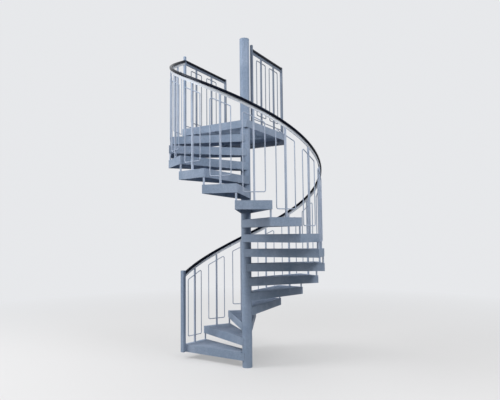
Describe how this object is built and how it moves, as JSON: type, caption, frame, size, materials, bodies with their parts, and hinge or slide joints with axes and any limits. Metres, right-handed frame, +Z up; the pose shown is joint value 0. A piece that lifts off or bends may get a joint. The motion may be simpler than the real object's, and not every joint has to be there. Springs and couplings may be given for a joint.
{
  "type": "spiral staircase",
  "caption": "Outdoor spiral staircase of galvanised steel: wedge-shaped box treads round a column, a helical handrail on bent-bar balusters and a square landing with guardrails at a wall.",
  "frame": {"origin": "centre of the column's foot, on the ground", "axes": "+Z up along the column, +Y towards the wall that carries the landing, +X along that wall to the right as one faces it; the treads climb clockwise seen from above"},
  "size_m": [2.0123, 2.0094, 4.284],
  "materials": {
    "galvanised_steel": "hot-dip galvanised, matt, light blue-grey with a faint spangle",
    "black_grip": "smooth black plastic handrail profile with a low sheen"
  },
  "bodies": {
    "root": {"column": "galvanised_steel", "column_cap": "galvanised_steel", "tread_01": "galvanised_steel", "tread_02": "galvanised_steel", "tread_03": "galvanised_steel", "tread_04": "galvanised_steel", "tread_05": "galvanised_steel", "tread_06": "galvanised_steel", "tread_07": "galvanised_steel", "tread_08": "galvanised_steel", "tread_09": "galvanised_steel", "tread_10": "galvanised_steel", "tread_11": "galvanised_steel", "tread_12": "galvanised_steel", "tread_13": "galvanised_steel", "tread_14": "galvanised_steel", "tread_15": "galvanised_steel", "tread_16": "galvanised_steel", "baluster_01": "galvanised_steel", "baluster_02": "galvanised_steel", "baluster_03": "galvanised_steel", "baluster_04": "galvanised_steel", "baluster_05": "galvanised_steel", "baluster_06": "galvanised_steel", "baluster_07": "galvanised_steel", "baluster_08": "galvanised_steel", "baluster_09": "galvanised_steel", "baluster_10": "galvanised_steel", "baluster_11": "galvanised_steel", "baluster_12": "galvanised_steel", "baluster_13": "galvanised_steel", "baluster_14": "galvanised_steel", "baluster_15": "galvanised_steel", "baluster_16": "galvanised_steel", "corner_spacers": "galvanised_steel", "start_post": "galvanised_steel", "handrail_bar": "galvanised_steel", "landing": "galvanised_steel", "landing_corner_post": "galvanised_steel", "left_guardrail": "galvanised_steel", "right_guardrail": "galvanised_steel", "wall_beam": "galvanised_steel", "handrail_grip": "black_grip", "left_rail_grip": "black_grip", "right_rail_grip": "black_grip"}
  },
  "joints": []
}
